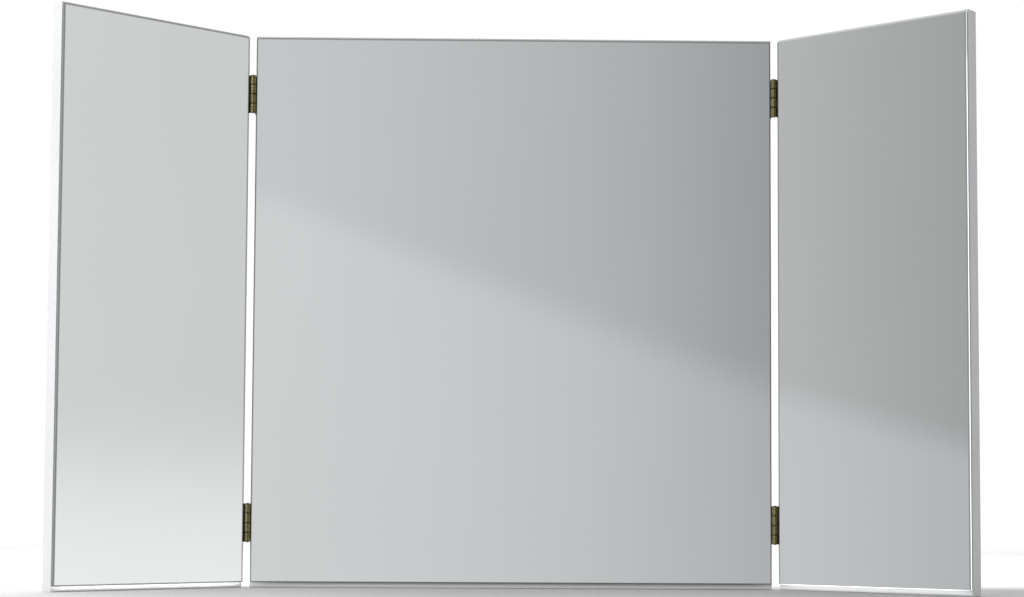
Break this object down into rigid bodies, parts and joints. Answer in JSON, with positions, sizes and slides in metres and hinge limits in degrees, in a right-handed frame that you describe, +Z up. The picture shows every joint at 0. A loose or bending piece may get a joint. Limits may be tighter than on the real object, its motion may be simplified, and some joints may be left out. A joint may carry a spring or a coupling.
{
  "type": "folding table mirror",
  "caption": "Free-standing folding mirror: a wide upright centre panel with a narrow hinged wing on each side, frameless mirror glass on white boards, small brass butt hinges.",
  "frame": {"origin": "the middle of the centre board's underside, on the surface that the mirror stands on", "axes": "+Z up, +X to the viewer's right across the centre glass, and the glass faces -Y; the wings swing forward, towards -Y"},
  "size_m": [0.8762, 0.16, 0.554],
  "materials": {
    "white_board": "white satin melamine",
    "edge_band": "white satin edge band",
    "mirror_glass": "silvered, ground arris",
    "foam_tape": "foam, matte",
    "hinge_brass": "aged, satin",
    "pin_brass": "aged, satin",
    "screw_brass": "satin"
  },
  "bodies": {
    "centre": {"centre_board": "white_board", "centre_bottom_edge_band": "edge_band", "centre_glass": "mirror_glass", "centre_left_edge_band": "edge_band", "centre_mounting_tape": "foam_tape", "centre_right_edge_band": "edge_band", "centre_top_edge_band": "edge_band", "left_lower_hinge_centre_leaf": "hinge_brass", "left_lower_hinge_centre_screws": "screw_brass", "left_lower_hinge_pin": "pin_brass", "left_upper_hinge_centre_leaf": "hinge_brass", "left_upper_hinge_centre_screws": "screw_brass", "left_upper_hinge_pin": "pin_brass", "right_lower_hinge_centre_leaf": "hinge_brass", "right_lower_hinge_centre_screws": "screw_brass", "right_lower_hinge_pin": "pin_brass", "right_upper_hinge_centre_leaf": "hinge_brass", "right_upper_hinge_centre_screws": "screw_brass", "right_upper_hinge_pin": "pin_brass"},
    "left_wing": {"left_lower_hinge_wing_leaf": "hinge_brass", "left_lower_hinge_wing_screws": "screw_brass", "left_upper_hinge_wing_leaf": "hinge_brass", "left_upper_hinge_wing_screws": "screw_brass", "left_wing_board": "white_board", "left_wing_bottom_edge_band": "edge_band", "left_wing_glass": "mirror_glass", "left_wing_left_edge_band": "edge_band", "left_wing_mounting_tape": "foam_tape", "left_wing_right_edge_band": "edge_band", "left_wing_top_edge_band": "edge_band"},
    "right_wing": {"right_lower_hinge_wing_leaf": "hinge_brass", "right_lower_hinge_wing_screws": "screw_brass", "right_upper_hinge_wing_leaf": "hinge_brass", "right_upper_hinge_wing_screws": "screw_brass", "right_wing_board": "white_board", "right_wing_bottom_edge_band": "edge_band", "right_wing_glass": "mirror_glass", "right_wing_left_edge_band": "edge_band", "right_wing_mounting_tape": "foam_tape", "right_wing_right_edge_band": "edge_band", "right_wing_top_edge_band": "edge_band"}
  },
  "joints": [
    {"name": "left_wing_hinge", "type": "hinge", "parent": "centre", "child": "left_wing", "pos_m": [-0.2623, -0.01375, 0.277], "axis": [0, 0, 1], "range_deg": [-41, 139]},
    {"name": "right_wing_hinge", "type": "hinge", "parent": "centre", "child": "right_wing", "pos_m": [0.2623, -0.01375, 0.277], "axis": [0, 0, -1], "range_deg": [-41, 139]}
  ]
}
